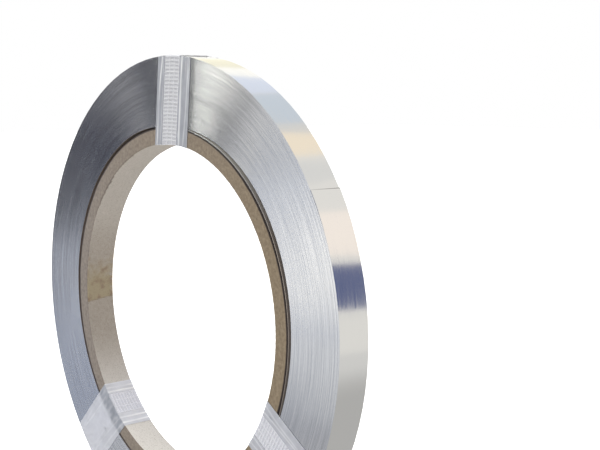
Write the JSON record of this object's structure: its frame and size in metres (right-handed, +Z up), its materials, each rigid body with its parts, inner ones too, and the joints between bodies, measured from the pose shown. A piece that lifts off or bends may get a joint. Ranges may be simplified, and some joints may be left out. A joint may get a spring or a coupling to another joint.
{
  "type": "stainless steel strip coil",
  "caption": "Narrow bright stainless steel strip wound into a flat ring on a thick paper core and tied with clear tape bindings, supplied as raw stock.",
  "frame": {"origin": "on the floor under the middle of the coil, which stands on its rim", "axes": "+Z up, +Y along the coil's axis from the front face to the back, +X to the right seen from the front"},
  "size_m": [0.4518, 0.0316, 0.4524],
  "materials": {
    "stainless_steel": "bright rolled",
    "core_board": "matt paperboard",
    "ribbed_band": "ribbed white",
    "clear_film": "clear gloss"
  },
  "bodies": {
    "root": {"strip_winding": "stainless_steel", "paper_core": "core_board", "binding_band_top": "ribbed_band", "binding_band_right": "ribbed_band", "binding_band_left": "ribbed_band", "tape_film_top": "clear_film", "tape_film_right": "clear_film", "tape_film_left": "clear_film"}
  },
  "joints": []
}
